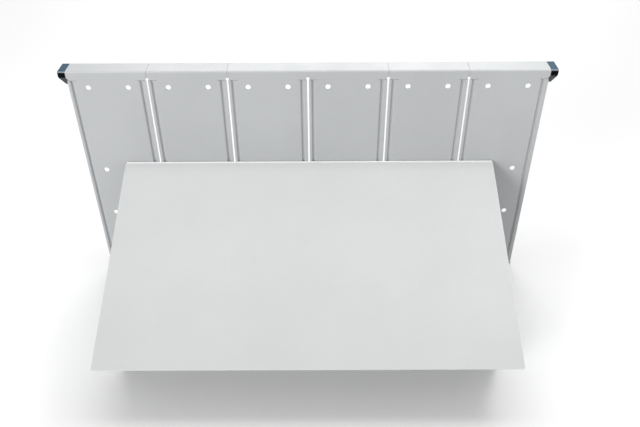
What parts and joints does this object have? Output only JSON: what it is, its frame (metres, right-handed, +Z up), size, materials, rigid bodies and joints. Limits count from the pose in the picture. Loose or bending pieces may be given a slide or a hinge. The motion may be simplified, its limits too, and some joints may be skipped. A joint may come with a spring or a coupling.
{
  "type": "shirt folding board",
  "caption": "Bench station with a wide sloping board hinged in front of a folded sheet-metal back made of side-by-side panels, on two side cheeks.",
  "frame": {"origin": "on the bench, under the middle of the whole object's box", "axes": "+Z up, +X to the right as the user stands in front, -Y towards the user, so the board slopes down towards -Y"},
  "size_m": [0.742, 0.3554, 0.384],
  "materials": {
    "panel_paint": "satin light-grey powder coat",
    "cheek_paint": "satin light-grey powder coat",
    "board_paint": "satin light-grey powder coat",
    "cap_plastic": "glossy blue-black moulding",
    "zinc_sheet": "zinc-plated sheet",
    "zinc_fastener": "bright zinc plate",
    "pin_steel": "drawn steel",
    "rubber": "matt black"
  },
  "bodies": {
    "stand": {"back_panel_1": "panel_paint", "back_panel_2": "panel_paint", "back_panel_3": "panel_paint", "back_panel_4": "panel_paint", "back_panel_5": "panel_paint", "back_panel_6": "panel_paint", "hood_rail": "zinc_sheet", "end_cap_left": "cap_plastic", "end_cap_right": "cap_plastic", "rear_rail_upper": "zinc_sheet", "rear_rail_lower": "zinc_sheet", "hinge_fixed_leaf": "board_paint", "hinge_pin": "pin_steel", "cheek_left": "cheek_paint", "cheek_right": "cheek_paint", "tie_bar": "zinc_sheet", "bumper_left_rear": "rubber", "bumper_left_front": "rubber", "bumper_right_rear": "rubber", "bumper_right_front": "rubber", "foot_front_left": "rubber", "foot_front_right": "rubber", "foot_rear_left": "rubber", "foot_rear_right": "rubber", "leaf_screws": "zinc_fastener", "leaf_nuts": "zinc_fastener", "rail_screws": "zinc_fastener", "rail_nuts": "zinc_fastener", "rail_spacers": "zinc_fastener", "cheek_screws": "zinc_fastener", "hood_screws": "zinc_fastener", "tie_screws": "zinc_fastener", "tie_nuts": "zinc_fastener"},
    "tilting_board": {"board": "board_paint", "hinge_moving_leaf": "board_paint", "board_stiffener_rear": "board_paint", "board_stiffener_front": "board_paint"}
  },
  "joints": [
    {"name": "board_hinge", "type": "hinge", "parent": "stand", "child": "tilting_board", "pos_m": [0, 0.142, 0.225], "axis": [-1, 0, 0], "range_deg": [0, 111]}
  ]
}
